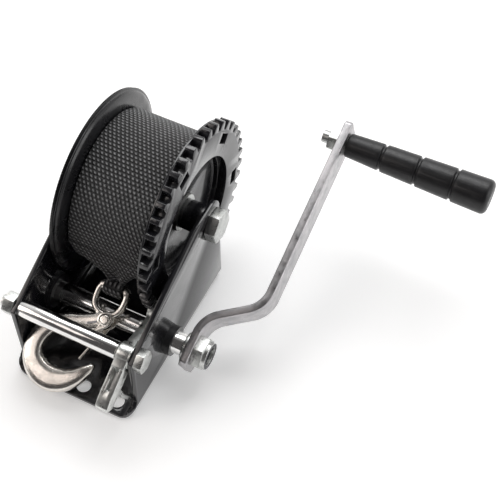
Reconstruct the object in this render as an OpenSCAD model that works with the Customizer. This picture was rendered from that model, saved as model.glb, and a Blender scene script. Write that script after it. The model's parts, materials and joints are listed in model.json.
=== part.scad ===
// Hand winch for a boat trailer, with a webbing strap, a snap hook and a one-piece crank.
// Millimetres. X runs along the axles towards the crank, Y to the back and Z up.
// The origin is the centre of the base's underside.

/* [Frame] */
// Clear width between the two cheeks
cheek_gap = 76; // [70:1:90]
// Thickness of the bent sheet of the frame
sheet = 3; // [2.5:0.5:4]
// Outer radius of the two bends of the sheet
bend_r = 6; // [5:1:8]
// Length of the base, front to back
base_len = 121; // [115:1:135]
// Length of base that stands out in front of the cheeks
base_lip = 10.5; // [8:0.5:14]
// Height of the cheeks' front corner
cheek_front_h = 53; // [52:1:56]
// Slope of the cheeks' top edge, in degrees
cheek_slope = 21; // [19:1:22]
// Height of the cheeks above the drum axle
cheek_over_axle = 16; // [14:1:18]
// Distance from the drum axle to the cheeks' rear edge
cheek_behind_axle = 10.5; // [10:0.5:14]

/* [Mounting holes] */
// Diameter of the mounting holes, for M8 bolts
mount_hole_d = 9; // [8.5:0.5:10.5]
// Pitch of the holes across the base
mount_pitch = 23.5; // [20:0.5:25]
// Offset of the front row to the right of the centre plane
front_row_shift = 4; // [0:0.5:5]
// Distance from the base's centre to the front row of holes
front_row_y = 52; // [50:0.5:54]
// Distance from the base's centre to the rear row of holes
rear_row_y = 36; // [30:0.5:46]

/* [Gears] */
// Module of the gear pair
gear_module = 3; // [3:3]
// Teeth on the drum gear
gear_teeth = 40; // [40:40]
// Teeth on the pinion
pinion_teeth = 10; // [10:10]
// Play between two teeth, along the pitch circle
backlash = 0.6; // [0.4:0.1:0.8]
// Tip radius of the drum gear
gear_tip_r = 62; // [61.5:0.1:62.2]
// Tip radius of the pinion
pinion_tip_r = 17.8; // [17:0.1:18]
// Height of the drum axle over the base's underside
axle_h = 68; // [68:1:72]
// Height of the crank axle over the base's underside
pinion_h = 22; // [22:1:24]
// Face width of the drum gear
gear_face = 6; // [5:0.5:7]
// Radius of the round window in the drum gear
gear_window_r = 39.5; // [36:0.5:42]

/* [Drum and strap] */
// Width of the strap
strap_w = 49.5; // [48:0.5:50]
// Outer radius of the strap wound on the drum
roll_r = 49.5; // [40:0.5:51]
// Outer radius of the drum flanges
flange_r = 60.5; // [58:0.5:61]
// Outer radius of the drum's core tube
core_r = 15; // [14:0.5:18]
// Thickness of the strap
strap_t = 1.8; // [1.4:0.1:2.4]

/* [Crank] */
// Distance from the crank axle to the grip's centre
crank_r = 155.5; // [140:0.5:180]
// Angle of the crank arm over the horizontal
crank_angle = 20; // [0:1:45]
// Width of the flat bar
bar_w = 22; // [20:1:25]
// Thickness of the flat bar
bar_t = 5; // [4:0.5:6]
// Sideways step of the bar
bar_step = 31; // [25:1:36]
// Steepness of the step
bar_kink = 56; // [50:1:60]
// Length of the grip
grip_len = 94; // [85:1:110]
// Radius of the grip at the bar
grip_r0 = 7.6; // [7.4:0.1:9]
// Radius of the grip at its outer end
grip_r1 = 11; // [10.5:0.1:13]

/* [Hook] */
// Slope of the hook, which lies over the base's front edge
hook_tilt = 27; // [27:27]
// Half thickness of the hook's bowl
bowl_half_t = 5.5; // [5:0.1:5.5]

/* [Hidden] */

$fn = 96;
cheek_x = cheek_gap / 2;
outer_x = cheek_x + sheet;
base_y = base_len / 2;
cheek_front_y = -base_y + base_lip;
axle_y = base_y - cheek_behind_axle;
cheek_top = axle_h + cheek_over_axle;
centre_distance = gear_module * (gear_teeth + pinion_teeth) / 2;
pinion_y = axle_y - sqrt(pow(centre_distance, 2) - pow(axle_h - pinion_h, 2));
fit = 0.05;
side_play = 0.3;

// Shared sizes of the drum axle, an M12 bolt
axle_r = 6;
axle_hex = 19;
axle_head = 7;
axle_nut_h = 10;
axle_washer_t = 2;
axle_washer_r = 12;

// Positions along X of the drum's parts
gear_out_x = 31;
gear_in_x = gear_out_x - gear_face;
plate_t = 1.5;
floor_x = 20.2;
strap_right_x = floor_x - side_play;
strap_left_x = strap_right_x - strap_w;
left_plate_x = strap_left_x - side_play;
rim_offset = 5;
rim_x = left_plate_x - rim_offset;
tab_count = 6;
tab_r = 50.5;
tab_w = 8;
tab_turn = 13;
slot_w = 10;
slot_h = 6.5;
floor_washer_t = 1.4;
spacer_r = 9.5;
bush_len = 12;
core_wall = 3;
bolt_end = 2.5;

// Tie bolt, an M8 bolt, with its tube and the pawl
tie_r = 4;
tie_y = -43;
tie_h = 50;
tie_tube_r = 5.4;
tie_tube_right = 28;
tie_hex = 13;
tie_head = 5.3;
tie_nut_h = 6.8;

// Ratchet and pawl
ratchet_teeth = 12;
ratchet_tip_r = 17;
ratchet_root_r = 12.4;
ratchet_in_x = 31.8;
ratchet_w = 4.4;
pawl_in_x = 29.1;
pawl_w = 8;
pawl_plate = 2.4;
pawl_hub_r = 7;
pawl_swing = 6.5;
nose_spread = 45;
nose_tip_r = 14.4;
lever_end = [-74.5, 34.5];
ratchet_line = atan2(tie_h - pinion_h, tie_y - pinion_y);

// Crank axle
shaft_r = 7;
shaft_left_x = -45;
shoulder_x = 53;
thread_r = 6;
shaft_end_x = 66.5;
flat_half = 4.5;
crank_washer_t = 2.4;
crank_washer_r = 9.4;
bar_in_x = shoulder_x + crank_washer_t;
bar_out_x = bar_in_x + bar_t + bar_step;
crank_nut_h = 9;
bush_r = 9;
bush_flange_r = 11.5;
bush_flange_t = 1.5;
bush_collar_end = 46;
bush_collar_r = 9.6;
bar_bend_r = 18;
bar_start = 9;
bar_end_over = 11.5;
bar_low_over = 13;
bar_chamfer = 2.5;

// Grip bolt, an M8 bolt
grip_bolt_r = 4;
grip_in_x = bar_out_x + 0.5;
grip_out_x = grip_in_x + grip_len;
grip_pocket_r = 7.3;
grip_pocket = 12;
grip_cap_t = 4.5;
groove_count = 3;
groove_w = 2.4;
groove_d = 1;

// Hook, in its own plane: x across, y up the slope and z out of it
hook_y = -base_y - 1;
hook_h = 11.4;
shank_half_t = 3.4;
eye_x = 1.5;
eye_w = 22;
eye_steel = 3.6;
eye_half_t = 2.7;
eye_bar_y = 66.5;
eye_bar_r = 3.2;
rivet_c = [5.5, 46.5];
rivet_r = 2.5;
latch_low = 3.7;
latch_high = 4.9;
rivet_head = 1;
latch_t = 1.2;
latch_len = 28;
latch_lean = 17.5;
hook_eye_y = hook_y + eye_bar_y * cos(hook_tilt);
hook_eye_h = hook_h + eye_bar_y * sin(hook_tilt);

// ---- Shared shapes ----

// A round bar or a tube along X from x0 to x1
module rod(x0, x1, r, bore = 0) {
    translate([x0, 0, 0])
        rotate([0, 90, 0])
            difference() {
                cylinder(h = x1 - x0, r = r);
                if (bore > 0)
                    translate([0, 0, -1]) cylinder(h = x1 - x0 + 2, r = bore);
            }
}

// A hexagonal head or nut along X, across_flats wide, with chamfered corners
module hexagon(x0, x1, across_flats, bore = 0, turn = 0) {
    translate([x0, 0, 0])
        rotate([0, 90, 0])
            difference() {
                intersection() {
                    rotate([0, 0, turn]) cylinder(h = x1 - x0, r = across_flats / 2 / cos(30), $fn = 6);
                    cylinder(h = x1 - x0, r1 = across_flats * 0.55 + (x1 - x0), r2 = across_flats * 0.53);
                }
                if (bore > 0)
                    translate([0, 0, -1]) cylinder(h = x1 - x0 + 2, r = bore);
            }
}

// A solid turned about X, from a list of [x, r] points
module turned(points) {
    rotate([0, 90, 0])
        rotate_extrude()
            polygon([for (p = points) [p[1], p[0]]]);
}

module at_axle() {
    translate([0, axle_y, axle_h]) children();
}

module at_shaft() {
    translate([0, pinion_y, pinion_h]) children();
}

module at_tie() {
    translate([0, tie_y, tie_h]) children();
}

// A flat outline in Y and Z, from x0 to x1
module side_plate(x0, x1) {
    translate([x0, 0, 0])
        rotate([90, 0, 90])
            linear_extrude(x1 - x0) children();
}

// ---- Gear teeth ----

function involute(base_r, r) = tan(acos(base_r / r)) * 180 / PI - acos(base_r / r);

// Half of a tooth's angle at radius r, for a tooth of half angle half_pitch at the pitch circle
function tooth_half(pitch_r, half_pitch, r) =
    let (base_r = pitch_r * cos(20))
    half_pitch + involute(base_r, pitch_r) - involute(base_r, max(r, base_r));

function gear_points(teeth, tip_r, root_r, turn) =
    let (
        pitch_r = gear_module * teeth / 2,
        half_pitch = (PI * gear_module / 2 - backlash / 2) / pitch_r / 2 * 180 / PI,
        steps = 4,
        radii = [for (i = [0 : steps]) root_r + (tip_r - root_r) * i / steps]
    )
    [for (k = [0 : teeth - 1])
        for (s = [-1, 1])
            for (i = [0 : steps])
                let (
                    r = s < 0 ? radii[i] : radii[steps - i],
                    a = turn + k * 360 / teeth + s * tooth_half(pitch_r, half_pitch, r)
                )
                [r * cos(a), r * sin(a)]];

// Direction from the drum axle to the crank axle, seen along X
mesh_angle = atan2(pinion_h - axle_h, pinion_y - axle_y);

// ---- Frame ----

module u_section() {
    difference() {
        union() {
            translate([-outer_x + bend_r, 0]) square([2 * (outer_x - bend_r), bend_r]);
            translate([-outer_x, bend_r]) square([2 * outer_x, cheek_top]);
            for (s = [-1, 1])
                translate([s * (outer_x - bend_r), bend_r]) circle(r = bend_r);
        }
        translate([-cheek_x + bend_r - sheet, sheet]) square([2 * (cheek_x - bend_r + sheet), bend_r]);
        translate([-cheek_x, bend_r]) square([2 * cheek_x, cheek_top + 1]);
        for (s = [-1, 1])
            translate([s * (cheek_x - bend_r + sheet), bend_r]) circle(r = bend_r - sheet);
    }
}

// Side view of the frame: the base's strip and the sloping cheeks
module side_outline() {
    rear_r = 9;
    slope_run = (cheek_top - cheek_front_h) / tan(cheek_slope);
    difference() {
        polygon([
            [-base_y, 0],
            [base_y, 0],
            [base_y, cheek_top],
            [cheek_front_y + slope_run, cheek_top],
            [cheek_front_y, cheek_front_h],
            [cheek_front_y, bend_r + 3],
            [cheek_front_y - 3, bend_r],
            [-base_y, bend_r]
        ]);
        difference() {
            translate([base_y - rear_r, cheek_top - rear_r]) square(rear_r + 1);
            translate([base_y - rear_r, cheek_top - rear_r]) circle(r = rear_r);
        }
    }
}

module plan_outline() {
    corner_r = 9;
    translate([-outer_x, -base_y + corner_r]) square([2 * outer_x, base_len - corner_r]);
    translate([-outer_x + corner_r, -base_y]) square([2 * (outer_x - corner_r), base_len]);
    for (s = [-1, 1])
        translate([s * (outer_x - corner_r), -base_y + corner_r]) circle(r = corner_r);
}

module mount_row(y, shift, count) {
    for (i = [0 : count - 1])
        translate([shift + (i - (count - 1) / 2) * mount_pitch, y, -1])
            cylinder(h = sheet + 2, d = mount_hole_d);
}

module frame_bracket() {
    color([0.06, 0.06, 0.07])
        difference() {
            intersection() {
                rotate([90, 0, 0])
                    translate([0, 0, -base_y]) linear_extrude(base_len) u_section();
                side_plate(-outer_x, outer_x) side_outline();
                linear_extrude(cheek_top + 1) plan_outline();
            }
            mount_row(-front_row_y, front_row_shift, 3);
            mount_row(rear_row_y, 0, 3);
            at_axle() rod(-outer_x - 1, outer_x + 1, axle_r + fit);
            at_tie() rod(-outer_x - 1, outer_x + 1, tie_r + fit);
            at_shaft() rod(-outer_x - 1, outer_x + 1, bush_r);
        }
}

module axle_bolt() {
    color([0.78, 0.79, 0.78])
        at_axle() {
            rod(-outer_x - axle_washer_t - axle_nut_h - bolt_end, outer_x + 1, axle_r);
            hexagon(outer_x, outer_x + axle_head, axle_hex, turn = 12);
        }
}

module axle_nut() {
    x = -outer_x - axle_washer_t;
    color([0.78, 0.79, 0.78])
        at_axle()
            mirror([1, 0, 0]) hexagon(-x, -x + axle_nut_h, axle_hex, axle_r, turn = 20);
}

module axle_washers() {
    color([0.8, 0.8, 0.78])
        at_axle() {
            rod(-outer_x - axle_washer_t, -outer_x, axle_washer_r, axle_r + fit);
            rod(floor_x + plate_t, floor_x + plate_t + floor_washer_t, axle_washer_r, axle_r + fit);
            rod(left_plate_x - plate_t - floor_washer_t, left_plate_x - plate_t, axle_washer_r, axle_r + fit);
        }
}

module axle_spacers() {
    color([0.07, 0.07, 0.08])
        at_axle() {
            rod(floor_x + plate_t + floor_washer_t, cheek_x, spacer_r, axle_r + fit);
            rod(-cheek_x, left_plate_x - plate_t - floor_washer_t, spacer_r, axle_r + fit);
        }
}

module tie_bolt() {
    color([0.78, 0.79, 0.78])
        at_tie() {
            rod(-outer_x - tie_nut_h - bolt_end, outer_x + 1, tie_r);
            hexagon(outer_x, outer_x + tie_head, tie_hex, turn = 8);
        }
}

module tie_nut() {
    color([0.78, 0.79, 0.78])
        at_tie()
            mirror([1, 0, 0]) hexagon(outer_x, outer_x + tie_nut_h, tie_hex, tie_r, turn = 17);
}

module tie_tube() {
    color([0.85, 0.86, 0.86])
        at_tie() rod(-cheek_x, tie_tube_right, tie_tube_r, tie_r + fit);
}

module pawl_washer() {
    color([0.8, 0.8, 0.78])
        at_tie() rod(pawl_in_x + pawl_w + 0.1, cheek_x, 7.5, tie_r + fit);
}

module shaft_bushes() {
    color([0.1, 0.1, 0.11])
        at_shaft() {
            for (s = [-1, 1])
                mirror([s < 0 ? 1 : 0, 0, 0]) {
                    rod(cheek_x, outer_x + 0.8, bush_r, shaft_r + fit);
                    rod(cheek_x - bush_flange_t, cheek_x, bush_flange_r, shaft_r + fit);
                }
            // The crank side's collar
            rod(outer_x, bush_collar_end, bush_collar_r, shaft_r + fit);
        }
}

// The strap's free end, from the drum down to its sewn loop in the hook's eye
module strap_tail() {
    top_z = axle_h - 1;
    tail_y = axle_y - roll_r - 0.4;
    loop_w = 13;
    loop_r = eye_bar_r + 0.4;
    neck_z = hook_eye_h + loop_r + strap_t;
    color([0.1, 0.1, 0.11])
        difference() {
            union() {
                translate([0, tail_y, 0])
                    rotate([90, 0, 0])
                        linear_extrude(strap_t)
                            polygon([
                                [strap_left_x, top_z],
                                [strap_right_x, top_z],
                                [eye_x + loop_w / 2 + 6, neck_z + 5],
                                [eye_x + loop_w / 2, neck_z - 2],
                                [eye_x - loop_w / 2, neck_z - 2],
                                [eye_x - loop_w / 2 - 6, neck_z + 5]
                            ]);
                translate([0, hook_eye_y, hook_eye_h])
                    rod(eye_x - loop_w / 2, eye_x + loop_w / 2, loop_r + strap_t);
            }
            translate([0, hook_eye_y, hook_eye_h])
                rod(eye_x - loop_w, eye_x + loop_w, loop_r);
        }
}

// ---- Drum ----

module drum_gear() {
    root_r = gear_module * gear_teeth / 2 - 1.2 * gear_module;
    // A gap between two teeth faces the pinion
    turn = mesh_angle + 180 / gear_teeth;
    color([0.08, 0.08, 0.09])
        at_axle()
            difference() {
                side_plate(gear_in_x, gear_out_x)
                    polygon(gear_points(gear_teeth, gear_tip_r, root_r, turn));
                rod(gear_in_x - 1, gear_out_x + 1, gear_window_r);
                for (k = [0 : tab_count - 1])
                    rotate([tab_turn + k * 360 / tab_count, 0, 0])
                        translate([gear_in_x - 1, -slot_w / 2, tab_r - slot_h / 2])
                            cube([gear_face + 2, slot_w, slot_h]);
            }
}

module right_flange() {
    step_r = gear_window_r - 1;
    color([0.06, 0.06, 0.07])
        at_axle() {
            turned([
                [floor_x, core_r - core_wall],
                [floor_x, step_r + 1.7],
                [gear_in_x - plate_t, step_r + 2.4],
                [gear_in_x - plate_t, flange_r],
                [gear_in_x, flange_r],
                [gear_in_x, step_r + 1],
                [floor_x + plate_t, step_r + 0.7],
                [floor_x + plate_t, core_r - core_wall]
            ]);
            // Tabs that are bent into the gear's slots
            for (k = [0 : tab_count - 1])
                rotate([tab_turn + k * 360 / tab_count, 0, 0])
                    translate([gear_in_x - 0.5, -tab_w / 2, tab_r - plate_t / 2 - 1])
                        cube([gear_face / 2, tab_w, plate_t + 0.5]);
        }
}

module left_flange() {
    bead_r = 1.6;
    color([0.06, 0.06, 0.07])
        at_axle() {
            turned([
                [left_plate_x, core_r - core_wall],
                [left_plate_x, roll_r],
                [rim_x + plate_t, flange_r - bead_r],
                [rim_x, flange_r - bead_r],
                [left_plate_x - plate_t, roll_r - 1],
                [left_plate_x - plate_t, core_r - core_wall]
            ]);
            translate([rim_x + bead_r / 2, 0, 0])
                rotate([0, 90, 0])
                    rotate_extrude()
                        translate([flange_r - bead_r, 0]) circle(r = bead_r, $fn = 24);
        }
}

module drum_core() {
    color([0.2, 0.2, 0.21])
        at_axle()
            difference() {
                rod(left_plate_x, floor_x, core_r, core_r - core_wall);
                translate([(left_plate_x + floor_x) / 2, 0, 0])
                    cube([strap_w - 8, 3, 4 * core_r], center = true);
            }
}

module core_bushes() {
    color([0.85, 0.84, 0.78])
        at_axle() {
            rod(left_plate_x - plate_t, left_plate_x + bush_len, core_r - core_wall, axle_r + fit);
            rod(floor_x - bush_len, floor_x + plate_t, core_r - core_wall, axle_r + fit);
        }
}

// Pin inside the core that holds the strap's inner end
module strap_pin() {
    pin_r = 1.5;
    color([0.7, 0.7, 0.7])
        at_axle()
            translate([0, 0, core_r - core_wall - pin_r - 0.3])
                rod(left_plate_x + bush_len + side_play, floor_x - bush_len - side_play, pin_r);
}

module strap_roll() {
    color([0.1, 0.1, 0.11])
        at_axle() rod(strap_left_x, strap_right_x, roll_r, core_r);
}

// ---- Crank ----

module double_d(r, flat) {
    intersection() {
        circle(r = r);
        square([2 * flat, 2 * r + 1], center = true);
    }
}

module drive_shaft() {
    color([0.82, 0.83, 0.83])
        at_shaft()
            difference() {
                union() {
                    rod(shaft_left_x, shoulder_x, shaft_r);
                    rod(shoulder_x - 1, shaft_end_x, thread_r);
                }
                for (s = [-1, 1])
                    rotate([crank_angle, 0, 0])
                        translate([shoulder_x, s * (flat_half + 2) - 2, -thread_r - 1])
                            cube([crank_washer_t + bar_t, 4, 2 * thread_r + 2]);
                difference() {
                    rod(-outer_x - 2.4, -outer_x - 1, shaft_r + 1);
                    rod(-outer_x - 3, -outer_x, shaft_r - 1);
                }
            }
}

module pinion() {
    root_r = gear_module * pinion_teeth / 2 - 1.15 * gear_module;
    // A tooth faces the drum gear
    turn = mesh_angle + 180;
    color([0.7, 0.71, 0.72])
        at_shaft()
            difference() {
                side_plate(gear_in_x + side_play, gear_out_x - 0.1)
                    polygon(gear_points(pinion_teeth, pinion_tip_r, root_r, turn));
                rod(gear_in_x - 1, gear_out_x + 1, shaft_r);
            }
}

module ratchet_wheel() {
    half_root = 9.5;
    half_tip = 5.5;
    color([0.75, 0.76, 0.76])
        at_shaft()
            difference() {
                side_plate(ratchet_in_x, ratchet_in_x + ratchet_w)
                    polygon([for (k = [0 : ratchet_teeth - 1])
                        for (p = [[ratchet_root_r, -half_root], [ratchet_tip_r, -half_tip],
                                  [ratchet_tip_r, half_tip], [ratchet_root_r, half_root]])
                            let (a = ratchet_line + k * 360 / ratchet_teeth + p[1])
                            [p[0] * cos(a), p[0] * sin(a)]]);
                rod(ratchet_in_x - 1, ratchet_in_x + ratchet_w + 1, shaft_r);
            }
}

module shaft_circlip() {
    color([0.3, 0.3, 0.32])
        at_shaft()
            difference() {
                rod(-outer_x - 2.3, -outer_x - 1.1, shaft_r + 2.2, shaft_r - 1 + fit);
                translate([-outer_x - 3, -2, -shaft_r - 4]) cube([3, 4, 8]);
            }
}

module crank_washer() {
    color([0.8, 0.8, 0.78])
        at_shaft() rod(shoulder_x, bar_in_x, crank_washer_r, thread_r + fit);
}

// The flat bar, with x along the arm, y across its width and z outwards
module crank_bar() {
    mid = bar_bend_r;
    kink_run = mid * sin(bar_kink);
    kink_rise = mid * (1 - cos(bar_kink));
    straight = (bar_step - 2 * kink_rise) / sin(bar_kink);
    second = bar_start + 2 * kink_run + straight * cos(bar_kink);
    over = 0.02;
    // Lower run
    translate([-bar_low_over, -bar_w / 2, 0]) cube([bar_low_over + bar_start + over, bar_w, bar_t]);
    // First bend
    translate([bar_start, bar_w / 2, mid + bar_t / 2])
        rotate([90, 0, 0])
            rotate([0, 0, -90])
                rotate_extrude(angle = bar_kink)
                    translate([mid - bar_t / 2, 0]) square([bar_t, bar_w]);
    // Slanted run
    translate([bar_start + kink_run, -bar_w / 2, bar_t / 2 + kink_rise])
        rotate([0, -bar_kink, 0])
            translate([-over, 0, -bar_t / 2]) cube([straight + 2 * over, bar_w, bar_t]);
    // Second bend
    translate([second, bar_w / 2, bar_step + bar_t / 2 - mid])
        rotate([90, 0, 0])
            rotate([0, 0, 90])
                rotate_extrude(angle = bar_kink)
                    translate([mid - bar_t / 2, 0]) square([bar_t, bar_w]);
    // Upper run
    translate([second - over, -bar_w / 2, bar_step])
        cube([crank_r + bar_end_over - second + over, bar_w, bar_t]);
}

// A frame with x along the crank arm, y across it and z outwards along the axle
module along_crank() {
    at_shaft()
        rotate([crank_angle, 0, 0])
            translate([bar_in_x, 0, 0])
                multmatrix([[0, 0, 1, 0], [1, 0, 0, 0], [0, 1, 0, 0], [0, 0, 0, 1]])
                    children();
}

module crank_arm() {
    x0 = -bar_low_over;
    x1 = crank_r + bar_end_over;
    y1 = bar_w / 2;
    c = bar_chamfer;
    color([0.82, 0.84, 0.84])
        along_crank()
            difference() {
                intersection() {
                    crank_bar();
                    translate([0, 0, -1])
                        linear_extrude(bar_step + bar_t + 2)
                            polygon([
                                [x0 + c, -y1], [x1 - 2, -y1], [x1, -y1 + 2], [x1, y1 - 2],
                                [x1 - 2, y1], [x0 + c, y1], [x0, y1 - c], [x0, -y1 + c]
                            ]);
                }
                translate([0, 0, -1])
                    linear_extrude(bar_t + 2) double_d(thread_r, flat_half);
                translate([crank_r, 0, bar_step - 1]) cylinder(h = bar_t + 2, r = grip_bolt_r + fit);
            }
}

module crank_nut() {
    x0 = bar_in_x + bar_t;
    collar = 2.5;
    color([0.78, 0.79, 0.78])
        at_shaft() {
            hexagon(x0, x0 + crank_nut_h - collar, axle_hex, thread_r, turn = 25);
            rod(x0 + crank_nut_h - collar - 0.5, x0 + crank_nut_h, axle_hex / 2 - 0.6, thread_r);
        }
}

module at_grip() {
    at_shaft()
        rotate([crank_angle, 0, 0])
            translate([0, crank_r, 0]) children();
}

module grip_bolt() {
    head = 5;
    x1 = grip_out_x - grip_cap_t - 1;
    color([0.8, 0.81, 0.8])
        at_grip() {
            rod(bar_out_x - bar_t - 11, x1, grip_bolt_r);
            rod(x1 - head, x1, grip_pocket_r - 0.8);
        }
}

module grip_nut() {
    nut_h = 6.5;
    x1 = bar_out_x - bar_t;
    color([0.78, 0.79, 0.78])
        at_grip()
            mirror([1, 0, 0]) hexagon(-x1, -x1 + nut_h, tie_hex, grip_bolt_r, turn = 15);
}

function grip_r(x) = grip_r0 + (grip_r1 - grip_r0) * (x - grip_in_x) / grip_len;

module grip() {
    pitch = grip_len / (groove_count + 1);
    x_end = grip_out_x;
    outline = concat(
        [[grip_in_x, grip_bolt_r + fit], [grip_in_x, grip_r0 - 0.8], [grip_in_x + 0.8, grip_r0]],
        [for (k = [1 : groove_count])
            let (x = grip_in_x + k * pitch)
            for (p = [[x - groove_w / 2, 0.2], [x - groove_w / 4, -groove_d],
                      [x + groove_w / 4, -groove_d], [x + groove_w / 2, 0.3]])
                [p[0], grip_r(p[0]) + p[1]]],
        [for (a = [0 : 15 : 75]) [x_end - 3.5 + 3.5 * sin(a), grip_r1 - 3.5 + 3.5 * cos(a)]],
        [[x_end, grip_r1 - 3.5], [x_end, grip_pocket_r],
         [x_end - grip_pocket, grip_pocket_r], [x_end - grip_pocket, grip_bolt_r + fit]]
    );
    color([0.07, 0.07, 0.08])
        at_grip() turned(outline);
}

module grip_cap() {
    color([0.07, 0.07, 0.08])
        at_grip() rod(grip_out_x - grip_cap_t, grip_out_x, grip_pocket_r);
}

// ---- Pawl ----

// Turns an outline about the tie bolt
module about_tie(angle) {
    translate([tie_y, tie_h])
        rotate(angle)
            translate([-tie_y, -tie_h]) children();
}

// A nose that sits in the gap of the ratchet wheel on side s when the pawl is thrown to that side
module nose(s) {
    tip_half = 1;
    heel_half = 2.6;
    heel_r = 24;
    arm = ratchet_line - s * nose_spread;
    about_tie(s * pawl_swing)
        translate([pinion_y, pinion_h])
            rotate(arm)
                polygon([
                    [nose_tip_r, -tip_half], [heel_r - 4, -heel_half], [heel_r + 1, -heel_half],
                    [heel_r + 1, heel_half], [heel_r - 4, heel_half], [nose_tip_r, tip_half]
                ]);
}

function from_wheel(r, a) = [pinion_y + r * cos(ratchet_line + a), pinion_h + r * sin(ratchet_line + a)];

module pawl_outline() {
    translate([tie_y, tie_h]) circle(r = pawl_hub_r);
    for (s = [-1, 1]) nose(s);
    // The arm spreads from the hub to both noses, outside the wheel
    polygon([
        from_wheel(46, 8), from_wheel(30, 36), from_wheel(26.5, 44), from_wheel(22, 38),
        from_wheel(20.5, 20), from_wheel(20, 0), from_wheel(20.5, -20),
        from_wheel(22, -38), from_wheel(26.5, -44), from_wheel(30, -36), from_wheel(46, -8)
    ]);
}

// The thumb lever, which reaches forward and down from the hub
module lever_outline() {
    polygon([
        [tie_y + 2, tie_h + 6.5], [tie_y - 7, tie_h + 2.5], [lever_end[0] + 4, lever_end[1] + 7],
        [lever_end[0], lever_end[1] + 3], lever_end, [lever_end[0] + 5, lever_end[1] - 4],
        [tie_y - 12, tie_h - 12], [tie_y - 2, tie_h - 6.5]
    ]);
}

// The web between the lever's side plates, set back from their upper edges
module lever_web_outline() {
    polygon([
        [tie_y - 2, tie_h + 2], [tie_y - 8, tie_h - 1], [lever_end[0] + 7, lever_end[1] + 4],
        [lever_end[0] + 5, lever_end[1] - 4], [tie_y - 12, tie_h - 12], [tie_y - 2, tie_h - 6.5]
    ]);
}

// The solid thumb piece at the lever's end
module thumb_outline() {
    polygon([
        [lever_end[0] + 9, lever_end[1] + 9.4], [lever_end[0] + 4, lever_end[1] + 7],
        [lever_end[0], lever_end[1] + 3], lever_end, [lever_end[0] + 5, lever_end[1] - 4],
        [lever_end[0] + 11, lever_end[1] - 0.6]
    ]);
}

// A square bridge between the side plates, in front of the bolt and a little above them
module bridge_outline() {
    polygon([
        [tie_y - 4.5, tie_h + 4.2], [tie_y - 10.5, tie_h + 1.2],
        [tie_y - 11, tie_h - 4], [tie_y - 5, tie_h - 4]
    ]);
}

// A second, thin leg that bends down beside the cheek, to throw the pawl the other way
module low_leg_outline() {
    polygon([
        [tie_y - 8, tie_h - 2], [tie_y - 15.5, tie_h - 6], [tie_y - 18.6, tie_h - 12],
        [tie_y - 15.6, tie_h - 25], [tie_y - 9.5, tie_h - 37.5], [tie_y - 4, tie_h - 42],
        [tie_y - 3, tie_h - 39.8], [tie_y - 7.2, tie_h - 36], [tie_y - 12.9, tie_h - 24],
        [tie_y - 15.6, tie_h - 12.3], [tie_y - 13.5, tie_h - 8.5], [tie_y - 8, tie_h - 6]
    ]);
}

module pawl() {
    x1 = pawl_in_x + pawl_w;
    color([0.8, 0.82, 0.82])
        difference() {
            union() {
                side_plate(ratchet_in_x - 0.4, x1) pawl_outline();
                side_plate(pawl_in_x, pawl_in_x + pawl_plate) lever_outline();
                side_plate(x1 - pawl_plate, x1) lever_outline();
                side_plate(pawl_in_x, x1) lever_web_outline();
                side_plate(pawl_in_x, x1) thumb_outline();
                side_plate(x1 - pawl_plate, x1) low_leg_outline();
                at_tie() rod(pawl_in_x, x1, pawl_hub_r);
                side_plate(pawl_in_x, x1) bridge_outline();
            }
            at_tie() rod(pawl_in_x - 1, x1 + 1, tie_r + fit);
        }
}

// ---- Hook ----

module on_hook() {
    translate([0, hook_y, hook_h])
        rotate([hook_tilt, 0, 0]) children();
}

// Middle line of the hook from its tip, round the bowl and up the shank: [x, y, half width]
hook_points = [
    [8.6, 18.5, 1.8], [5.5, 13.5, 3.8], [1, 8, 5.6], [-5, 3.5, 7.2], [-12, 1.3, 8], [-18.5, 1.8, 8],
    [-24.5, 4.8, 7.4], [-29.2, 10, 6.6], [-31, 16.5, 6], [-30.5, 23, 5.7], [-27.8, 29, 5.5],
    [-23.5, 33.2, 5.4], [-18, 36.6, 5.3], [-10, 39.5, 5.3], [-2, 43, 5.3], [5, 46.5, 5]
];
// Number of those points that lie on the thick bowl
bowl_points = 12;

// A smooth line through points, with three steps between each two
function smooth(points) =
    let (n = len(points) - 1)
    concat(
        [for (i = [0 : n - 1])
            for (t = [0, 1 / 3, 2 / 3])
                let (a = points[max(i - 1, 0)], b = points[i], c = points[i + 1], d = points[min(i + 2, n)])
                0.5 * (2 * b + (c - a) * t + (2 * a - 5 * b + 4 * c - d) * t * t
                    + (3 * b - a - 3 * c + d) * t * t * t)],
        [points[n]]
    );

// Both sides of a middle line
function sides(line) =
    let (
        n = len(line) - 1,
        normals = [for (i = [0 : n])
            let (d = line[min(i + 1, n)] - line[max(i - 1, 0)], l = norm([d[0], d[1]]))
            [-d[1] / l, d[0] / l]]
    )
    concat(
        [for (i = [0 : n]) [line[i][0], line[i][1]] + normals[i] * line[i][2]],
        [for (i = [n : -1 : 0]) [line[i][0], line[i][1]] - normals[i] * line[i][2]]
    );

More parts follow.
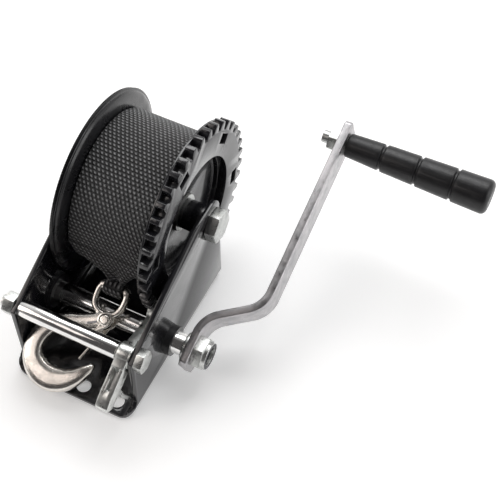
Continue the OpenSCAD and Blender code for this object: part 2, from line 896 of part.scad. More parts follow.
module hook() {
    prong_x = eye_w / 2;
    inner_x = prong_x - eye_steel;
    color([0.85, 0.84, 0.8])
        on_hook()
            difference() {
                union() {
                    translate([0, 0, -shank_half_t])
                        linear_extrude(2 * shank_half_t) polygon(sides(smooth(hook_points)));
                    // The bowl is thicker than the shank
                    translate([0, 0, -bowl_half_t])
                        linear_extrude(2 * bowl_half_t)
                            polygon(sides([for (i = [0 : 3 * (bowl_points - 1)]) smooth(hook_points)[i]]));
                    // The eye: two prongs that carry a straight round bar
                    translate([eye_x, 0, -eye_half_t])
                        linear_extrude(2 * eye_half_t)
                            polygon([
                                [-4, 45.5], [6, 45.5], [9.5, 49.5], [prong_x, 54], [prong_x, eye_bar_y + 1],
                                [inner_x, eye_bar_y + 1], [inner_x, 56.5], [5, 53], [2, 51.6], [-2, 51.6],
                                [-5, 53], [-inner_x, 56.5], [-inner_x, eye_bar_y + 1],
                                [-prong_x, eye_bar_y + 1], [-prong_x, 54], [-9, 49.5]
                            ]);
                    translate([eye_x, eye_bar_y, 0]) rod(-prong_x - 0.5, prong_x + 0.5, eye_bar_r);
                }
                translate([rivet_c[0], rivet_c[1], -10]) cylinder(h = 20, r = rivet_r);
            }
}

module hook_rivet() {
    low = latch_low + latch_t + 0.2;
    high = latch_high + latch_t + 0.2;
    color([0.85, 0.84, 0.8])
        on_hook()
            translate([rivet_c[0], rivet_c[1], 0]) {
                translate([0, 0, -low]) cylinder(h = low + high, r = rivet_r);
                translate([0, 0, high]) cylinder(h = rivet_head, r1 = rivet_r + 1.4, r2 = rivet_r);
                translate([0, 0, -low - rivet_head]) cylinder(h = rivet_head, r1 = rivet_r, r2 = rivet_r + 1.4);
            }
}

// A sheet-metal latch: an ear on each side of the shank, a bridge between them and the strip
module latch() {
    ear_r = 4.8;
    strip_x = 2.2;
    strip_half = 3.5;
    bridge_y = 8.5;
    bridge_len = 5;
    color([0.85, 0.84, 0.8])
        on_hook()
            translate([rivet_c[0], rivet_c[1], 0])
                rotate([0, 0, -latch_lean])
                    difference() {
                        union() {
                            for (z = [-latch_low - latch_t, latch_high])
                                translate([0, 0, z]) {
                                    cylinder(h = latch_t, r = ear_r);
                                    translate([-1, -bridge_y - bridge_len, 0])
                                        cube([strip_x + latch_t + 1, bridge_y + bridge_len, latch_t]);
                                }
                            translate([strip_x, -latch_len, -strip_half])
                                cube([latch_t, latch_len - bridge_y, 2 * strip_half]);
                            translate([strip_x, -bridge_y - bridge_len, -latch_low - latch_t / 2])
                                cube([latch_t, bridge_len, latch_low + latch_high + latch_t]);
                        }
                        translate([0, 0, -10]) cylinder(h = 20, r = rivet_r + fit);
                    }
}

// Coil of the latch's spring, round the rivet, with a leg on the shank
module latch_spring() {
    wire = 1.2;
    leg = 8;
    color([0.7, 0.7, 0.7])
        on_hook()
            translate([rivet_c[0], rivet_c[1], shank_half_t + 0.1]) {
                difference() {
                    cylinder(h = wire, r = rivet_r + 1.5);
                    translate([0, 0, -1]) cylinder(h = wire + 2, r = rivet_r + 0.1);
                }
                rotate([0, 0, -150])
                    translate([rivet_r + 1, -wire / 2, 0]) cube([leg, wire, wire]);
            }
}

frame_bracket();
axle_bolt();
axle_nut();
axle_washers();
axle_spacers();
tie_bolt();
tie_nut();
tie_tube();
pawl_washer();
shaft_bushes();
strap_tail();
drum_gear();
right_flange();
left_flange();
drum_core();
core_bushes();
strap_pin();
strap_roll();
drive_shaft();
pinion();
ratchet_wheel();
shaft_circlip();
crank_washer();
crank_arm();
crank_nut();
grip_bolt();
grip_nut();
grip();
grip_cap();
pawl();
hook();
hook_rivet();
latch();
latch_spring();
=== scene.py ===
"""Looks of the boat trailer winch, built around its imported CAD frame."""

import json
import math

import bmesh
import bpy
from mathutils import Matrix, Vector


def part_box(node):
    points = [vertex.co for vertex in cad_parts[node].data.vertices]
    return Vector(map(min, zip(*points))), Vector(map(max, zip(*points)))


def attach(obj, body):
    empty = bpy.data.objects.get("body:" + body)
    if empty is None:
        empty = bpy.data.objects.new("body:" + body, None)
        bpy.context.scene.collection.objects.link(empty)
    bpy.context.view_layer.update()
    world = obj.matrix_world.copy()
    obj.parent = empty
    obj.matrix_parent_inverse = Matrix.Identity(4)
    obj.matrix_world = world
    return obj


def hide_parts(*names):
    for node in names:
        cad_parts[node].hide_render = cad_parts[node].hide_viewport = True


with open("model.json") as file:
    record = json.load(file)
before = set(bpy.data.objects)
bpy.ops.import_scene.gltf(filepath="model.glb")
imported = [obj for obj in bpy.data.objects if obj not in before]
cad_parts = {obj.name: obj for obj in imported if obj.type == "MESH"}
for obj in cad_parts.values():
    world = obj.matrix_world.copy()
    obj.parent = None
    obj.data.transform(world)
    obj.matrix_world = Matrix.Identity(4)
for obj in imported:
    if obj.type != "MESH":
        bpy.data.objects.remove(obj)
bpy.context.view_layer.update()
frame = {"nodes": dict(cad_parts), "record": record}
NODES = frame["nodes"]
BODY_OF = {n: b for b, names in frame["record"]["behaviour"]["bodies"].items() for n in names}
MM = 0.001
# The weave's pitch along and across the strap, and the radius at which the rows are counted
WEAVE_ROW = 0.00242
WEAVE_COLUMN = 0.00285
WEAVE_RADIUS = 0.0485


def joint_at(name):
    for joint in frame["record"]["behaviour"]["joints"]:
        if joint["name"] == name:
            return Vector(joint["pos_m"])


AXLE = joint_at("drum_spin")
SHAFT = joint_at("crank_spin")
GRIP_AXIS = joint_at("grip_spin")
EYE = joint_at("hook_swing")
TIE = joint_at("pawl_rock")


# ---- Camera, light and floor ----


def add_camera():
    right = Vector((0.897, 0.443, 0.002))
    up = Vector((-0.367, 0.740, 0.564)).normalized()
    right = (right - right.dot(up) * up).normalized()
    back = right.cross(up)
    turn = Matrix((right, up, back)).transposed().to_4x4()
    data = bpy.data.cameras.new("camera")
    data.lens = 86.55
    data.sensor_width = 36
    data.clip_end = 20
    camera = bpy.data.objects.new("camera", data)
    camera.matrix_world = Matrix.Translation((0.2471, -0.3179, 0.6566)) @ turn
    bpy.context.scene.collection.objects.link(camera)
    bpy.context.scene.camera = camera


def add_light(name, place, target, size, power, tint=(1, 1, 1)):
    data = bpy.data.lights.new(name, "AREA")
    data.shape = "RECTANGLE"
    data.size, data.size_y = size
    data.energy = power
    data.color = tint
    lamp = bpy.data.objects.new(name, data)
    lamp.location = place
    lamp.rotation_euler = (Vector(target) - Vector(place)).to_track_quat("-Z", "Y").to_euler()
    bpy.context.scene.collection.objects.link(lamp)


def add_world():
    """White all round, and darker on the side the viewer stands on."""
    world = bpy.data.worlds.new("studio")
    world.use_nodes = True
    bpy.context.scene.world = world
    tree = world.node_tree
    coords = tree.nodes.new("ShaderNodeTexCoord")
    dot = tree.nodes.new("ShaderNodeVectorMath")
    dot.operation = "DOT_PRODUCT"
    dot.inputs[1].default_value = Vector((0.1, -0.75, 0.65)).normalized()
    tree.links.new(coords.outputs["Generated"], dot.inputs[0])
    ramp = tree.nodes.new("ShaderNodeValToRGB")
    ramp.color_ramp.elements[0].position = 0.0
    ramp.color_ramp.elements[0].color = (1, 1, 1, 1)
    ramp.color_ramp.elements[1].position = 0.75
    ramp.color_ramp.elements[1].color = (0.1, 0.095, 0.095, 1)
    tree.links.new(dot.outputs["Value"], ramp.inputs[0])
    ground = tree.nodes["Background"]
    ground.inputs["Strength"].default_value = 0.8
    tree.links.new(ramp.outputs[0], ground.inputs["Color"])


def add_floor():
    mesh = bpy.data.meshes.new("floor")
    mesh.from_pydata([(-3, -3, 0), (3, -3, 0), (3, 3, 0), (-3, 3, 0)], [], [(0, 1, 2, 3)])
    floor = bpy.data.objects.new("floor", mesh)
    bpy.context.scene.collection.objects.link(floor)
    mat, shader, _ = new_material("floor_white")
    shader.inputs["Base Color"].default_value = (0.9, 0.9, 0.9, 1)
    shader.inputs["Roughness"].default_value = 0.7
    shader.inputs["Emission Color"].default_value = (1, 1, 1, 1)
    shader.inputs["Emission Strength"].default_value = 0.28
    mesh.materials.append(mat)


# ---- Materials ----


class Nodes:
    """Short names for building a node tree."""

    def __init__(self, tree):
        self.tree = tree

    def new(self, kind, **values):
        node = self.tree.nodes.new(kind)
        for key, value in values.items():
            setattr(node, key, value)
        return node

    def link(self, a, b):
        self.tree.links.new(a, b)

    def put(self, socket, value):
        if isinstance(value, bpy.types.NodeSocket):
            self.link(value, socket)
        else:
            socket.default_value = value

    def coords(self, scale=(1, 1, 1)):
        source = self.new("ShaderNodeTexCoord")
        mapping = self.new("ShaderNodeMapping")
        mapping.inputs["Scale"].default_value = scale
        self.link(source.outputs["Object"], mapping.inputs["Vector"])
        return mapping.outputs["Vector"]

    def noise(self, scale, detail=2.0, rough=0.5, stretch=(1, 1, 1)):
        node = self.new("ShaderNodeTexNoise")
        node.inputs["Scale"].default_value = scale
        node.inputs["Detail"].default_value = detail
        node.inputs["Roughness"].default_value = rough
        self.link(self.coords(stretch), node.inputs["Vector"])
        return node.outputs["Fac"]

    def ramp(self, value, stops):
        node = self.new("ShaderNodeValToRGB")
        band = node.color_ramp
        while len(band.elements) < len(stops):
            band.elements.new(0.5)
        for element, (place, colour) in zip(band.elements, stops):
            element.position = place
            element.color = (*colour, 1) if len(colour) == 3 else colour
        self.link(value, node.inputs[0])
        return node.outputs[0]

    def span(self, value, low, high, from_low=0.3, from_high=0.7):
        node = self.new("ShaderNodeMapRange")
        node.inputs["From Min"].default_value = from_low
        node.inputs["From Max"].default_value = from_high
        node.inputs["To Min"].default_value = low
        node.inputs["To Max"].default_value = high
        self.link(value, node.inputs["Value"])
        return node.outputs[0]

    def math(self, operation, a, b=0.0):
        node = self.new("ShaderNodeMath", operation=operation)
        self.put(node.inputs[0], a)
        self.put(node.inputs[1], b)
        return node.outputs[0]

    def bump(self, height, strength, distance, normal=None):
        node = self.new("ShaderNodeBump")
        node.inputs["Strength"].default_value = strength
        node.inputs["Distance"].default_value = distance
        self.link(height, node.inputs["Height"])
        if normal is not None:
            self.link(normal, node.inputs["Normal"])
        return node.outputs[0]


def new_material(name):
    mat = bpy.data.materials.new(name)
    mat.use_nodes = True
    return mat, mat.node_tree.nodes["Principled BSDF"], Nodes(mat.node_tree)


def gloss_paint(name, dark, light, rough, peel=0.25, coat=0.6):
    """Black powder coat with a slight orange peel and a few duller patches."""
    mat, shader, n = new_material(name)
    n.link(n.ramp(n.noise(35, 4), [(0.3, dark), (0.7, light)]), shader.inputs["Base Color"])
    n.link(n.span(n.noise(90, 5), rough * 0.75, rough * 1.5), shader.inputs["Roughness"])
    shader.inputs["Coat Weight"].default_value = coat
    shader.inputs["Coat Roughness"].default_value = 0.08
    n.link(n.bump(n.noise(420, 2), peel, 0.0002), shader.inputs["Normal"])
    return mat


def plated(name, dark, light, rough, grain=0.25, stretch=(1, 1, 1), tint=None):
    """Zinc plate: mottled tint, fine grain, brushed along the axis with the smallest stretch."""
    mat, shader, n = new_material(name)
    stops = [(0.3, dark), (0.62, light)] + ([(0.8, tint)] if tint else [])
    n.link(n.ramp(n.noise(110, 6, 0.6), stops), shader.inputs["Base Color"])
    shader.inputs["Metallic"].default_value = 1.0
    n.link(n.span(n.noise(260, 5, 0.6, stretch), rough * 0.7, rough * 1.45), shader.inputs["Roughness"])
    fine = n.bump(n.noise(1700, 4, 0.6, stretch), grain, 0.00025)
    n.link(n.bump(n.noise(140, 3), grain * 0.6, 0.0006, fine), shader.inputs["Normal"])
    return mat


def webbing(name, wound):
    """Coarse weave: staggered rows of threads, either round the axle or down a flat strap."""
    mat, shader, n = new_material(name)
    split = n.new("ShaderNodeSeparateXYZ")
    source = n.new("ShaderNodeTexCoord")
    n.link(source.outputs["Object"], split.inputs[0])
    if wound:
        y = n.math("SUBTRACT", split.outputs["Y"], AXLE.y)
        z = n.math("SUBTRACT", split.outputs["Z"], AXLE.z)
        along = n.math("MULTIPLY", n.math("ARCTAN2", y, z), WEAVE_RADIUS)
    else:
        along = split.outputs["Z"]
    rows = n.math("DIVIDE", along, WEAVE_ROW)
    columns = n.math("DIVIDE", split.outputs["X"], WEAVE_COLUMN)
    # Every second row is shifted by half a column, which makes the slanting lines of the weave
    phase = n.math("ADD", columns, n.math("MULTIPLY", rows, 0.5))
    across = n.math("ABSOLUTE", n.math("SINE", n.math("MULTIPLY", phase, math.pi)))
    down = n.math("ABSOLUTE", n.math("SINE", n.math("MULTIPLY", rows, math.pi)))
    bead = n.math("MULTIPLY", across, down)
    fuzz = n.noise(2600, 3)
    height = n.math("ADD", bead, n.math("MULTIPLY", fuzz, 0.25))
    shade = n.math("ADD", n.math("MULTIPLY", bead, 0.8), n.math("MULTIPLY", n.noise(240, 3), 0.35))
    # The near-black gaps between the threads are painted shade and the light crests on the bead tops a
    # painted highlight; the middle colour is the thread's own black.
    gap_painted_shade, thread, crest = (0.0015, 0.0015, 0.002), (0.026, 0.026, 0.028), (0.26, 0.262, 0.27)
    colour = n.ramp(shade, [(0.34, gap_painted_shade), (0.64, thread), (0.93, crest)])
    n.link(colour, shader.inputs["Base Color"])
    shader.inputs["Roughness"].default_value = 0.5
    shader.inputs["Sheen Weight"].default_value = 0.1
    n.link(n.bump(height, 1.0, 0.0012), shader.inputs["Normal"])
    return mat


def plastic(name, dark, light, rough, grain=0.3):
    mat, shader, n = new_material(name)
    n.link(n.ramp(n.noise(70, 5), [(0.3, dark), (0.7, light)]), shader.inputs["Base Color"])
    n.link(n.span(n.noise(300, 4), rough * 0.85, rough * 1.25), shader.inputs["Roughness"])
    n.link(n.bump(n.noise(2200, 3), grain, 0.00015), shader.inputs["Normal"])
    return mat


# ---- Pieces ----


def add_piece(name, mesh, body, mat, replaces=(), angle=35):
    """Links a mesh as a piece that rides on a body, smooth except at edges sharper than angle."""
    for face in mesh.polygons:
        face.use_smooth = True
    mesh.set_sharp_from_angle(angle=math.radians(angle))
    mesh.materials.clear()
    mesh.materials.append(mat)
    piece = bpy.data.objects.new(name, mesh)
    bpy.context.scene.collection.objects.link(piece)
    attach(piece, body)
    if replaces:
        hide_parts(*replaces)
    return piece


def applied(mesh, *modifiers):
    """The mesh with modifiers applied, each a kind with its settings."""
    carrier = bpy.data.objects.new("carrier", mesh)
    bpy.context.scene.collection.objects.link(carrier)
    for kind, settings in modifiers:
        modifier = carrier.modifiers.new(kind.lower(), kind)
        for key, value in settings.items():
            setattr(modifier, key, value)
    graph = bpy.context.evaluated_depsgraph_get()
    result = bpy.data.meshes.new_from_object(carrier.evaluated_get(graph))
    bpy.data.objects.remove(carrier)
    return result


def soften(node, width, mat, angle=32):
    """A copy of a CAD node with rounded edges, which stands for it."""
    mesh = NODES[node].data.copy()
    bm = bmesh.new()
    bm.from_mesh(mesh)
    bmesh.ops.remove_doubles(bm, verts=bm.verts, dist=2e-6)
    bmesh.ops.dissolve_limit(bm, angle_limit=math.radians(0.8), verts=bm.verts, edges=bm.edges)
    bm.to_mesh(mesh)
    bm.free()
    bevel = {
        "width": width * MM,
        "segments": 2,
        "limit_method": "ANGLE",
        "angle_limit": math.radians(angle),
        "use_clamp_overlap": False,
        "harden_normals": False,
    }
    mesh = applied(mesh, ("BEVEL", bevel))
    return add_piece(node + "_soft", mesh, BODY_OF[node], mat, (node,), 40)


def mesh_from(name, verts, faces):
    mesh = bpy.data.meshes.new(name)
    mesh.from_pydata([tuple(v) for v in verts], [], faces)
    bm = bmesh.new()
    bm.from_mesh(mesh)
    bmesh.ops.recalc_face_normals(bm, faces=bm.faces)
    bm.to_mesh(mesh)
    bm.free()
    return mesh


def turned(name, profile, centre, segments=96, bump=None):
    """A closed profile of (x, r) in mm turned about an axis along X; bump(i, turn) changes r."""
    verts, faces = [], []
    count = len(profile)
    for s in range(segments):
        turn = 2 * math.pi * s / segments
        for i, (x, r) in enumerate(profile):
            r = r + (bump(i, turn) if bump else 0)
            verts.append((x * MM, centre.y + r * MM * math.cos(turn), centre.z + r * MM * math.sin(turn)))
    for s in range(segments):
        t = (s + 1) % segments
        for i in range(count):
            j = (i + 1) % count
            faces.append((s * count + i, s * count + j, t * count + j, t * count + i))
    return mesh_from(name, verts, faces)


def sweep(path, sections, closed=False):
    """Vertices and faces of a tube: one ring per path point; a ring is a list of (a, b) offsets."""
    verts, faces = [], []
    n = len(path)
    for i, (point, side, out) in enumerate(path):
        for a, b in sections[i]:
            verts.append(point + side * a + out * b)
    m = len(sections[0])
    for i in range(n if closed else n - 1):
        k = (i + 1) % n
        for j in range(m):
            q = (j + 1) % m
            faces.append((i * m + j, i * m + q, k * m + q, k * m + j))
    if not closed:
        faces.append(tuple(range(m - 1, -1, -1)))
        faces.append(tuple((n - 1) * m + j for j in range(m)))
    return verts, faces


def squircle(half_a, half_b, power=3.0, count=28):
    ring = []
    for k in range(count):
        c = math.cos(2 * math.pi * k / count)
        s = math.sin(2 * math.pi * k / count)
        a = half_a * math.copysign(abs(c) ** (2 / power), c)
        b = half_b * math.copysign(abs(s) ** (2 / power), s)
        ring.append((a, b))
    return ring


def catmull_at(a, b, c, d, t):
    """One coordinate at a part t of the way from b to c."""
    square = 2 * a - 5 * b + 4 * c - d
    cube = 3 * b - a - 3 * c + d
    return 0.5 * (2 * b + (c - a) * t + square * t * t + cube * t**3)


def catmull(points, steps):
    """Smooth curve through points of any length, as a list of tuples."""
    out = []
    for i in range(len(points) - 1):
        p0, p1, p2 = points[max(i - 1, 0)], points[i], points[i + 1]
        p3 = points[min(i + 2, len(points) - 1)]
        for s in range(steps):
            out.append(tuple(catmull_at(*four, s / steps) for four in zip(p0, p1, p2, p3)))
    out.append(tuple(points[-1]))
    return out


# ---- Hook ----

TILT = math.radians(27)
# The eye's bar lies 66.5 mm up the slope from the hook's own origin
BAR_UP = 0.0665
HOOK_ORIGIN = EYE - Vector((0.0015, BAR_UP * math.cos(TILT), BAR_UP * math.sin(TILT)))


def on_hook(x, y, z=0.0):
    """A point of the hook's plane, in mm, in the frame."""
    cos, sin = math.cos(TILT), math.sin(TILT)
    return HOOK_ORIGIN + Vector((x * MM, (y * cos - z * sin) * MM, (y * sin + z * cos) * MM))


def make_hook(mat):
    """Forged hook: a swept bowl and shank and a ring eye, fused and smoothed."""
    # Middle line from the tip: x, y, half width, half thickness
    line = [
        (8.7, 19.0, 1.5, 2.3),
        (7.5, 16.2, 2.7, 3.4),
        (5.2, 13.0, 3.9, 4.4),
        (1, 8, 5.5, 5.2),
        (-5, 3.5, 7.1, 5.6),
        (-12, 1.3, 8, 5.8),
        (-18.5, 1.8, 8, 5.8),
        (-24.5, 4.8, 7.4, 5.7),
        (-29.2, 10, 6.6, 5.5),
        (-31, 16.5, 6, 5.3),
        (-30.5, 23, 5.7, 5.1),
        (-27.8, 29, 5.5, 4.8),
        (-23.5, 33.2, 5.4, 4.3),
        (-18, 36.6, 5.3, 3.9),
        (-10, 39.5, 5.3, 3.5),
        (-2, 43, 5.5, 3.4),
        (3.2, 46.4, 6.2, 3.3),
        (2.6, 49.3, 5.2, 2.9),
    ]
    fine = catmull(line, 4)
    path, rings = [], []
    normal = on_hook(0, 0, 1) - on_hook(0, 0, 0)
    for i, (x, y, w, t) in enumerate(fine):
        before, after = fine[max(i - 1, 0)], fine[min(i + 1, len(fine) - 1)]
        way = (on_hook(after[0], after[1]) - on_hook(before[0], before[1])).normalized()
        side = way.cross(normal.normalized()).normalized()
        path.append((on_hook(x, y), side, normal.normalized()))
        rings.append([(a * MM, b * MM) for a, b in squircle(w, t, 3.2)])
    verts, faces = sweep(path, rings)
    # The eye: a closed ring with a straight bar at the top
    mid, wide = 1.5, 9.2
    half_loop = [(0, 49.4), (4.2, 50.2), (7.6, 52.8), (wide, 57), (wide, 63.6), (6.8, 66.5)]
    corner = [(mid - x, y) for x, y in half_loop] + [(mid, 66.5)]
    corner += [(mid + x, y) for x, y in half_loop[:0:-1]]
    loop = [p[:2] for p in catmull(corner + corner[:3], 4)][4 : 4 + 4 * len(corner)]
    ring_path, ring_sections = [], []
    for i, (x, y) in enumerate(loop):
        before, after = loop[i - 1], loop[(i + 1) % len(loop)]
        way = (on_hook(*after) - on_hook(*before)).normalized()
        side = way.cross(normal.normalized()).normalized()
        ring_path.append((on_hook(x, y), side, normal.normalized()))
        half = 2.1 if y < 65 else 2.9
        ring_sections.append([(a * MM, b * MM) for a, b in squircle(half, max(half, 2.6), 2.6)])
    ring_verts, ring_faces = sweep(ring_path, ring_sections, closed=True)
    shift = len(verts)
    mesh = mesh_from("hook", verts + ring_verts, faces + [tuple(v + shift for v in f) for f in ring_faces])
    mesh = applied(
        mesh,
        ("REMESH", {"mode": "VOXEL", "voxel_size": 0.0006, "adaptivity": 0.0}),
        ("SMOOTH", {"factor": 0.5, "iterations": 2}),
    )
    return add_piece("hook_forged", mesh, "hook", mat, ("hook",), 180)


# ---- Strap ----

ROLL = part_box("strap_roll")
ROLL_LEFT, ROLL_RIGHT = ROLL[0][0] / MM, ROLL[1][0] / MM
ROLL_R = (ROLL[1][2] - AXLE.z) / MM
LAYER = 1.8


def make_roll(mat):
    """Wound webbing: its outer turn climbs by one layer, and each side shows the layers' edges."""
    core = 15.2
    left, right = ROLL_LEFT, ROLL_RIGHT
    profile = []
    layers = int((ROLL_R - core) / LAYER)
    for k in range(layers):
        r = core + k * LAYER
        profile += [(left + 0.28, r), (left + 0.04 + 0.12 * (k % 3 == 1), r + LAYER * 0.5)]
    outer = core + layers * LAYER
    profile += [(left + 0.3, ROLL_R - 1.2), (left + 0.25, ROLL_R - 0.55), (left + 1.0, ROLL_R - 0.12)]
    steps = 12
    profile += [(left + (right - left) * k / steps, ROLL_R - 0.02 * ((k * 7) % 3)) for k in range(1, steps)]
    profile += [(right - 1.0, ROLL_R - 0.12), (right - 0.25, ROLL_R - 0.55), (right - 0.3, ROLL_R - 1.2)]
    for k in reversed(range(layers)):
        r = core + k * LAYER
        profile += [(right - 0.04 - 0.12 * (k % 3 == 2), r + LAYER * 0.5), (right - 0.28, r)]

    def climb(i, turn):
        if profile[i][1] < ROLL_R - 1.5:
            return 0.0
        # turn is measured from +Y; the strap leaves the roll at the front, going down
        from_front = (math.pi - turn) % (2 * math.pi)
        return -LAYER * 0.5 * from_front / (2 * math.pi) + 0.1 * math.sin(3 * turn + 1)

    mesh = turned("roll", profile, AXLE, 180, climb)
    return add_piece("strap_roll_wound", mesh, "drum", mat, ("strap_roll",), 60)


def strap_half_width(z):
    """Half width of the free end at height z, in mm: full at the drum and gathered at the eye."""
    low, high = EYE.z / MM + 5.4, AXLE.z / MM - 1
    t = min(max((z - low) / (high - low), 0), 1)
    return 6.5 + (ROLL_RIGHT - ROLL_LEFT - 13.0) / 2 * t**1.15


def strap_middle(t):
    """The free end's y, depth of fold and middle x, in mm, at a part t of the way from drum to eye."""
    fold = 2.0 * max(0, (t - 0.25) / 0.75) ** 1.2
    y = AXLE.y / MM - ROLL_R + 0.55 - 1.5 * min(1, t * 2.5)
    middle = (ROLL_LEFT + ROLL_RIGHT) / 2
    return y, fold, middle + (EYE.x / MM - middle) * min(1, t * 1.1)


def strap_wave(u, fold):
    """How far the fold stands out at u, which runs from -1 to 1 across the strap."""
    return fold * math.sin(u * 6.2 + 0.6)


def make_tail(mat, thread):
    """The strap's free end: it leaves the roll, folds as it narrows, and loops round the eye."""
    rows, columns = 30, 48
    high, low = AXLE.z / MM + 2.5, EYE.z / MM + 4.0
    half_layer = LAYER / 2 * 0.85
    centre = []
    for i in range(rows + 1):
        z = high + (low - high) * i / rows
        centre.append((z, strap_half_width(z), *strap_middle(i / rows)))
    verts, faces = [], []
    for side in (-1, 1):
        for z, half, y, fold, x_mid in centre:
            for j in range(columns + 1):
                u = -1 + 2 * j / columns
                edge = 0.35 + 0.65 * min(1, (1 - abs(u)) * 12)
                out = y + strap_wave(u, fold) + side * half_layer * edge
                verts.append(((x_mid + u * half) * MM, out * MM, z * MM))
    size = (rows + 1) * (columns + 1)
    for i in range(rows):
        for j in range(columns):
            a = i * (columns + 1) + j
            b, c, d = a + 1, a + columns + 2, a + columns + 1
            faces += [(a, b, c, d), (size + d, size + c, size + b, size + a)]
    rim = list(range(columns + 1)) + [i * (columns + 1) + columns for i in range(1, rows + 1)]
    rim += [rows * (columns + 1) + j for j in range(columns - 1, -1, -1)]
    rim += [i * (columns + 1) for i in range(rows - 1, 0, -1)]
    for k, a in enumerate(rim):
        b = rim[(k + 1) % len(rim)]
        faces.append((a, size + a, size + b, b))
    mesh = mesh_from("tail", verts, faces)
    add_piece("strap_tail_web", mesh, "frame", mat, ("strap_tail",), 50)
    # The loop round the eye's bar
    profile = []
    for k in range(14):
        a = 2 * math.pi * k / 14
        x = 6.4 * math.copysign(abs(math.cos(a)) ** 0.4, math.cos(a))
        profile.append((EYE.x / MM + x, 4.5 + 0.95 * math.sin(a)))
    loop = turned("loop", profile, EYE, 48)
    add_piece("strap_loop", loop, "frame", mat, (), 50)
    # Rows of stitches across the fold above the eye
    verts, faces = [], []
    for z in (EYE.z / MM + 8.0, EYE.z / MM + 10.2):
        full = strap_half_width(z)
        half = full - 1.5
        y, fold, x_mid = strap_middle((z - high) / (low - high))
        count = int(half * 2 / 3.0)
        for k in range(count):
            u0 = (-half + 2 * half * (k + 0.15) / count) / full
            u1 = (-half + 2 * half * (k + 0.8) / count) / full
            path, rings = [], []
            for s in range(5):
                u = u0 + (u1 - u0) * s / 4
                lift = 0.15 * math.sin(math.pi * s / 4)
                out = y + strap_wave(u, fold) - half_layer - lift
                point = Vector(((x_mid + u * full) * MM, out * MM, z * MM))
                path.append((point, Vector((0, 1, 0)), Vector((0, 0, 1))))
                r = 0.32 if 0 < s < 4 else 0.16
                rings.append([(a * MM, b * MM) for a, b in squircle(r, r, 2, 8)])
            v, f = sweep(path, rings)
            shift = len(verts)
            verts += v
            faces += [tuple(q + shift for q in face) for face in f]
    add_piece("strap_stitches", mesh_from("stitches", verts, faces), "frame", thread, (), 60)


# ---- Left flange ----


def make_left_flange(mat):
    """Pressed plate with a curved flare and a rolled rim."""
    low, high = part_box("left_flange")
    plate = ROLL_LEFT - 0.3
    rim_x = low[0] / MM
    rim_r = (high[2] - AXLE.z) / MM
    bead = 1.6
    centre_x, centre_r = rim_x + bead, rim_r - bead
    flare = ROLL_R + 1.0
    sheet, hole_r = 1.5, 12.0
    inner = [(plate, hole_r), (plate, flare - 3)]
    outer = [(plate - sheet, hole_r), (plate - sheet, flare - 3)]
    reach_x, reach_r = plate - (rim_x + bead * 1.7), centre_r - flare - 0.2
    for k in range(1, 9):
        a = math.pi / 2 * k / 9
        cos, sin = math.cos(a), math.sin(a)
        inner.append((plate - reach_x * (1 - cos), flare + reach_r * sin))
        outer.append((plate - sheet - (reach_x - 0.9) * (1 - cos), flare - 1.0 + (reach_r + 0.3) * sin))
    bead_ring = []
    for k in range(15):
        a = math.radians(50 - 250 * k / 14)
        bead_ring.append((centre_x + bead * math.cos(a), centre_r + bead * math.sin(a)))
    profile = inner + bead_ring + outer[::-1]
    mesh = turned("left_flange", profile, AXLE, 144)
    return add_piece("left_flange_pressed", mesh, "drum", mat, ("left_flange",), 50)


# ---- Small detail ----


def make_thread(name, body, mat, axis, x0, x1, r, pitch):
    """Thread crests that stand a little proud of a plain shank."""
    verts, faces = [], []
    around = 32
    along = max(4, int((x1 - x0) / pitch * 8))
    for i in range(along + 1):
        x = x0 + (x1 - x0) * i / along
        fade = min(1, (x - x0) / 0.6, (x1 - x) / 0.6)
        for k in range(around):
            turn = 2 * math.pi * k / around
            phase = ((x - x0) / pitch - k / around) % 1
            crest = 1 - abs(2 * phase - 1)
            rr = r + 0.02 + 0.3 * crest * max(0, fade)
            verts.append((x * MM, axis.y + rr * MM * math.cos(turn), axis.z + rr * MM * math.sin(turn)))
    for i in range(along):
        for k in range(around):
            q = (k + 1) % around
            faces.append((i * around + k, i * around + q, (i + 1) * around + q, (i + 1) * around + k))
    inner = len(verts)
    for i in (0, along):
        x = x0 + (x1 - x0) * i / along
        for k in range(around):
            turn = 2 * math.pi * k / around
            root = (r - 0.6) * MM
            verts.append((x * MM, axis.y + root * math.cos(turn), axis.z + root * math.sin(turn)))
    for k in range(around):
        q = (k + 1) % around
        faces.append((k, q, inner + q, inner + k))
        faces.append((along * around + k, along * around + q, inner + around + q, inner + around + k))
        faces.append((inner + k, inner + q, inner + around + q, inner + around + k))
    return add_piece(name, mesh_from(name, verts, faces), body, mat, (), 40)


# ---- Build ----

bpy.context.scene.view_settings.view_transform = "Standard"
add_camera()
add_world()
add_floor()
add_light("top", (-0.25, 0.9, 1.3), (0, 0.05, 0.05), (1.4, 0.9), 14)
add_light("right", (1.3, 0.2, 0.6), (0, 0.02, 0.05), (0.9, 0.7), 4)
add_light("left", (-1.0, -0.5, 0.7), (0, 0, 0.05), (0.7, 0.9), 4, (1.0, 0.93, 0.88))
# Lights up the hook's broad face
add_light("front", (-0.43, -0.62, 0.98), (-0.01, -0.04, 0.02), (0.5, 0.5), 0.9, (1.0, 0.92, 0.88))

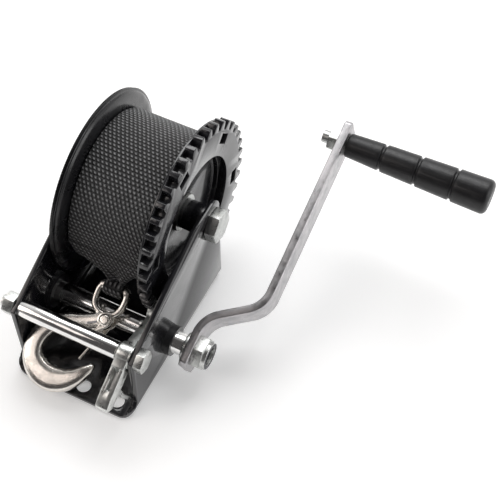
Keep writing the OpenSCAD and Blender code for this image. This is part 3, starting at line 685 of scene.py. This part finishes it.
PAINT = gloss_paint("black_paint", (0.006, 0.006, 0.0075), (0.013, 0.013, 0.016), 0.17, 0.05)
# The left flange's paint is a darker copy of the black paint: its darker colour is painted shade, and its
# rougher, thinner coat dulls its reflections.
SHADED_FLANGE_PAINT = gloss_paint("flange_paint_shaded", (0.005, 0.005, 0.006), (0.011, 0.011, 0.013), 0.26, 0.12, 0.15)
GEAR_PAINT = gloss_paint("gear_paint", (0.007, 0.007, 0.009), (0.016, 0.016, 0.019), 0.2, 0.35)
CORE = gloss_paint("core_paint", (0.02, 0.02, 0.022), (0.035, 0.035, 0.038), 0.4)
ZINC = plated("zinc_plate", (0.47, 0.48, 0.47), (0.7, 0.71, 0.69), 0.3, tint=(0.74, 0.72, 0.62))
BAR = plated("zinc_bar", (0.4, 0.4, 0.41), (0.58, 0.56, 0.57), 0.36, 0.3)
TUBE = plated("bright_tube", (0.74, 0.74, 0.74), (0.88, 0.87, 0.85), 0.12, 0.08, (0.15, 1, 1))
FORGED = plated("hook_zinc", (0.6, 0.57, 0.53), (0.84, 0.8, 0.75), 0.2, 0.22)
SPRING = plated("spring_steel", (0.16, 0.16, 0.17), (0.32, 0.32, 0.33), 0.3)
BUSH = gloss_paint("oil_black", (0.012, 0.012, 0.013), (0.028, 0.028, 0.03), 0.35)
NYLON = plastic("nylon", (0.52, 0.5, 0.44), (0.68, 0.66, 0.58), 0.45)
DARK_NYLON = plastic("dark_nylon", (0.02, 0.02, 0.024), (0.05, 0.05, 0.06), 0.4)
GRIP = plastic("grip_plastic", (0.005, 0.005, 0.006), (0.011, 0.011, 0.0125), 0.38, 0.35)
WOUND = webbing("webbing_wound", True)
FLAT = webbing("webbing_flat", False)
THREAD = plastic("stitch_thread", (0.05, 0.05, 0.055), (0.1, 0.1, 0.105), 0.6)

SOFT = {
    "frame_bracket": (0.45, PAINT),
    "axle_spacers": (0.3, PAINT),
    "drum_gear": (0.28, GEAR_PAINT),
    "right_flange": (0.3, GEAR_PAINT),
    "axle_bolt": (0.35, ZINC),
    "axle_nut": (0.35, ZINC),
    "tie_bolt": (0.3, ZINC),
    "tie_nut": (0.3, ZINC),
    "tie_tube": (0.35, TUBE),
    "pawl": (0.5, ZINC),
    "drive_shaft": (0.25, TUBE),
    "pinion": (0.25, ZINC),
    "ratchet_wheel": (0.25, ZINC),
    "crank_washer": (0.3, ZINC),
    "crank_arm": (0.7, BAR),
    "crank_nut": (0.35, ZINC),
    "grip_nut": (0.3, ZINC),
    "grip": (0.35, GRIP),
    "latch": (0.25, FORGED),
    "hook_rivet": (0.35, FORGED),
}
for node, (width, mat) in SOFT.items():
    soften(node, width, mat)

PLAIN = {
    "axle_washers": ZINC,
    "pawl_washer": ZINC,
    "shaft_bushes": BUSH,
    "drum_core": CORE,
    "core_bushes": NYLON,
    "strap_pin": ZINC,
    "shaft_circlip": SPRING,
    "grip_bolt": ZINC,
    "grip_cap": GRIP,
    "latch_spring": SPRING,
}
for node, mat in PLAIN.items():
    mesh = NODES[node].data
    mesh.materials.clear()
    mesh.materials.append(mat)

make_left_flange(SHADED_FLANGE_PAINT)
make_hook(FORGED)
make_roll(WOUND)
make_tail(FLAT, THREAD)

# The nylon ring in the crank's nut
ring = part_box("crank_nut")[1][0] / MM
collar = [(-1.2, 6.1), (0.06, 6.1), (0.12, 6.4), (0.12, 7.9), (0.02, 8.3), (-1.2, 8.3)]
insert = turned("insert", [(ring + x, r) for x, r in collar], SHAFT, 64)
add_piece("nut_insert", insert, "crank", DARK_NYLON)

# Thread crests on the bolts' ends
for name, body, axis, bolt, nut, radius, pitch in [
    ("grip_thread", "crank", GRIP_AXIS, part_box("grip_bolt"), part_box("grip_nut"), 3.75, 1.25),
    ("axle_thread", "frame", AXLE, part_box("axle_bolt"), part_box("axle_nut"), 5.75, 1.75),
    ("tie_thread", "frame", TIE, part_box("tie_bolt"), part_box("tie_nut"), 3.75, 1.25),
]:
    make_thread(name, body, ZINC, axis, bolt[0][0] / MM + 0.1, nut[0][0] / MM + 0.5, radius, pitch)
